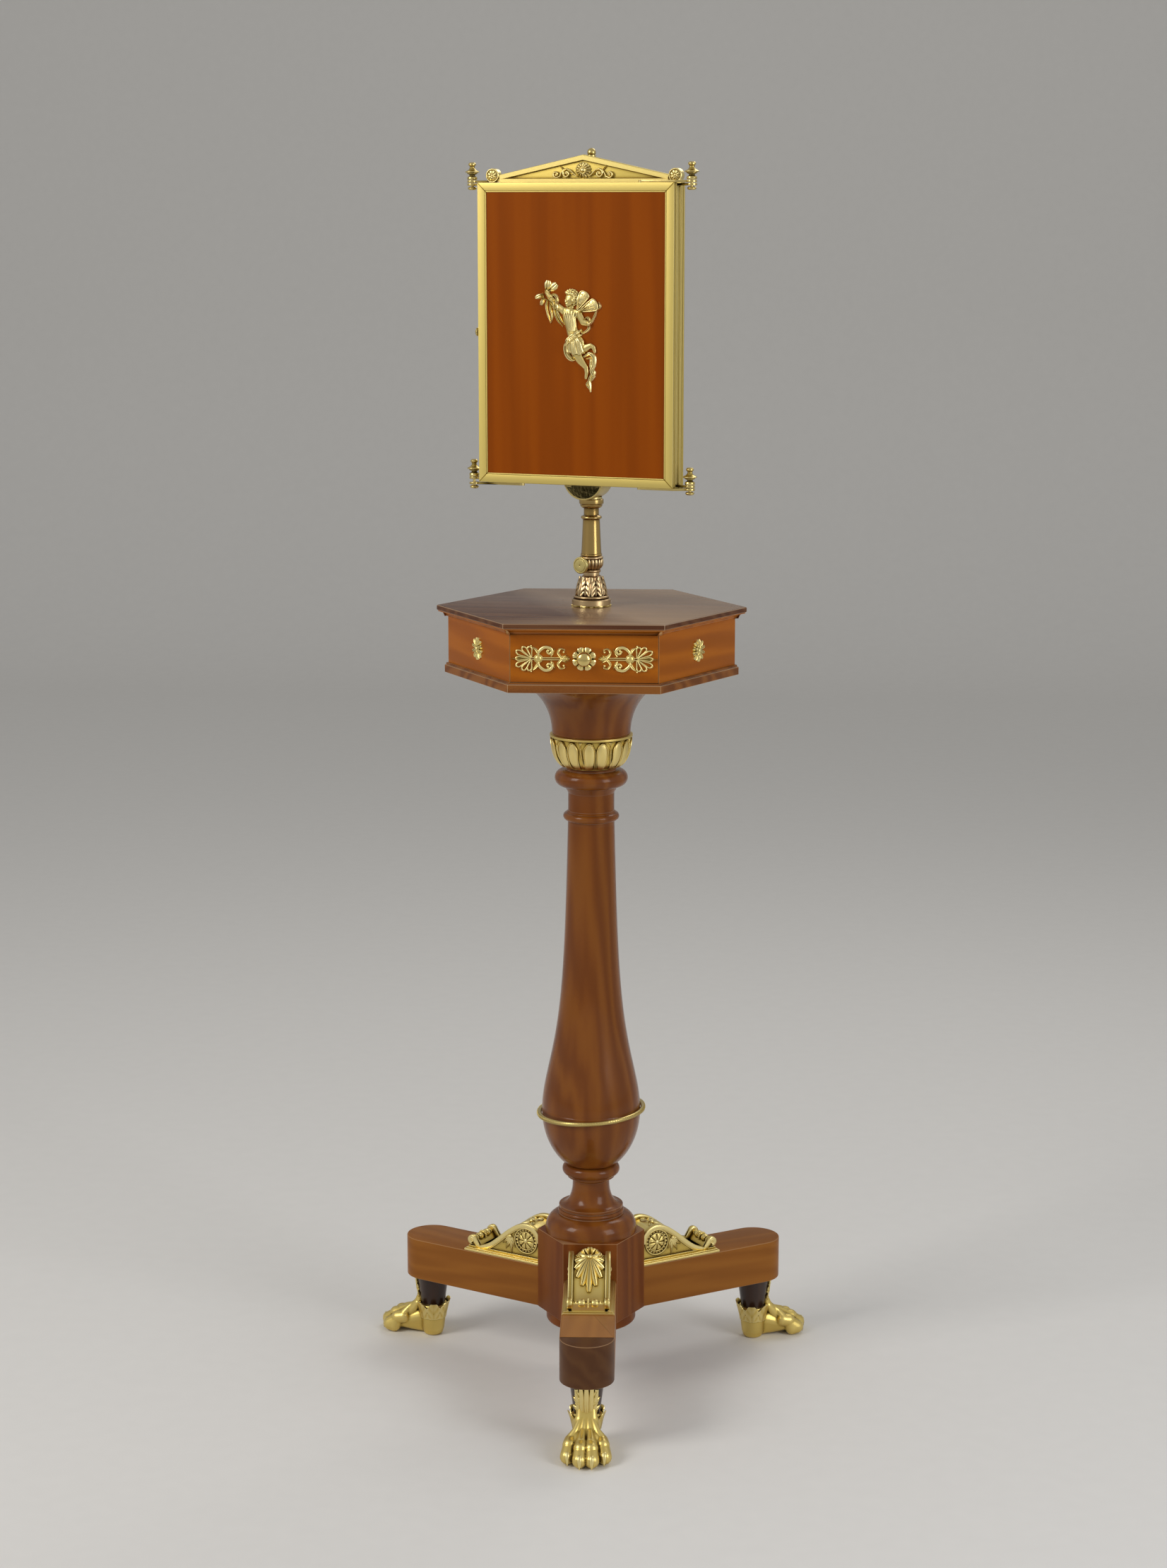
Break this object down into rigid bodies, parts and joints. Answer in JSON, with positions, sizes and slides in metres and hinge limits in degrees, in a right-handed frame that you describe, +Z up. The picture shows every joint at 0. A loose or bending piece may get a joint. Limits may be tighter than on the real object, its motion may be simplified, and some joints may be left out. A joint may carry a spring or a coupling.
{
  "type": "dressing table",
  "caption": "Pedestal dressing stand: hexagonal drawer table on a turned column with paw feet, under a folding looking glass that turns and slides on a post.",
  "frame": {"origin": "on the floor, at the middle of the bounding box", "axes": "+Z up, -Y towards the drawer and the front foot, +X to the viewer's right"},
  "size_m": [0.604, 0.543, 1.6473],
  "materials": {
    "mahogany": "french polished mahogany, warm red-brown",
    "mahogany_veneer": "polished figured mahogany veneer",
    "dark_wood": "ebonised, satin",
    "carcass_wood": "bare oak",
    "gilt": "satin gilt bronze, darker in the recesses",
    "brass": "aged brass, satin",
    "bronze": "brown patinated bronze with worn highlights",
    "looking_glass": "silvered glass"
  },
  "bodies": {
    "stand": {"front_leg": "mahogany", "right_leg": "mahogany", "left_leg": "mahogany", "foot_pegs": "dark_wood", "front_paw": "gilt", "right_paw": "gilt", "left_paw": "gilt", "front_bracket": "gilt", "right_bracket": "gilt", "left_bracket": "gilt", "leg_hub": "mahogany", "hub_boss": "mahogany", "column_base": "mahogany", "column_shaft": "mahogany", "column_ring": "brass", "gilt_cup": "gilt", "capital": "mahogany", "bottom_board": "mahogany", "frieze_right_front": "mahogany_veneer", "frieze_right_back": "mahogany_veneer", "frieze_back": "mahogany_veneer", "frieze_left_back": "mahogany_veneer", "frieze_left_front": "mahogany_veneer", "drawer_runners": "carcass_wood", "rod_guide": "brass", "top_board": "mahogany", "top_moulding": "mahogany", "side_rosettes": "gilt", "toothed_washer": "brass", "post_foot": "bronze", "clamp_collar": "bronze"},
    "drawer": {"drawer_front": "mahogany_veneer", "drawer_tray": "carcass_wood", "drawer_mount": "gilt", "drawer_knob": "gilt"},
    "thumb_screw": {"thumb_screw": "brass"},
    "post": {"post_rod": "bronze", "post_sleeve": "bronze", "pole_ball": "brass"},
    "back_leaf": {"back_frame": "gilt", "back_panel": "mahogany_veneer", "back_glass": "looking_glass", "back_straps": "brass", "back_pins": "brass", "pediment": "gilt", "pediment_mounts": "gilt", "yoke": "brass", "pole_eye": "brass"},
    "middle_leaf": {"middle_frame": "gilt", "middle_panel": "mahogany_veneer", "middle_glass": "looking_glass", "middle_straps": "brass", "middle_pins": "brass"},
    "front_leaf": {"front_frame": "gilt", "front_panel": "mahogany_veneer", "front_glass": "looking_glass", "front_straps": "brass", "front_figure": "gilt", "pull_knob": "brass"}
  },
  "joints": [
    {"name": "drawer_slide", "type": "slide", "parent": "stand", "child": "drawer", "axis": [0, -1, 0], "range_m": [0, 0.11]},
    {"name": "thumb_screw_turn", "type": "hinge", "parent": "stand", "child": "thumb_screw", "pos_m": [0.00556, 0.0714, 1.11518], "axis": [-0.5299, -0.848, 0], "range_deg": [0, 360]},
    {"name": "post_slide", "type": "slide", "parent": "stand", "child": "post", "axis": [0, 0, 1], "range_m": [0, 0.2]},
    {"name": "glass_turn", "type": "hinge", "parent": "post", "child": "back_leaf", "pos_m": [0.00556, 0.0714, 1.2005], "axis": [0, 0, 1], "range_deg": [-180, 180]},
    {"name": "middle_leaf_hinge", "type": "hinge", "parent": "back_leaf", "child": "middle_leaf", "pos_m": [-0.14918, 0.0916, 1.2228], "axis": [0, 0, -1], "range_deg": [0, 180]},
    {"name": "front_leaf_hinge", "type": "hinge", "parent": "middle_leaf", "child": "front_leaf", "pos_m": [0.13582, -0.02074, 1.2228], "axis": [0, 0, 1], "range_deg": [0, 180]}
  ]
}
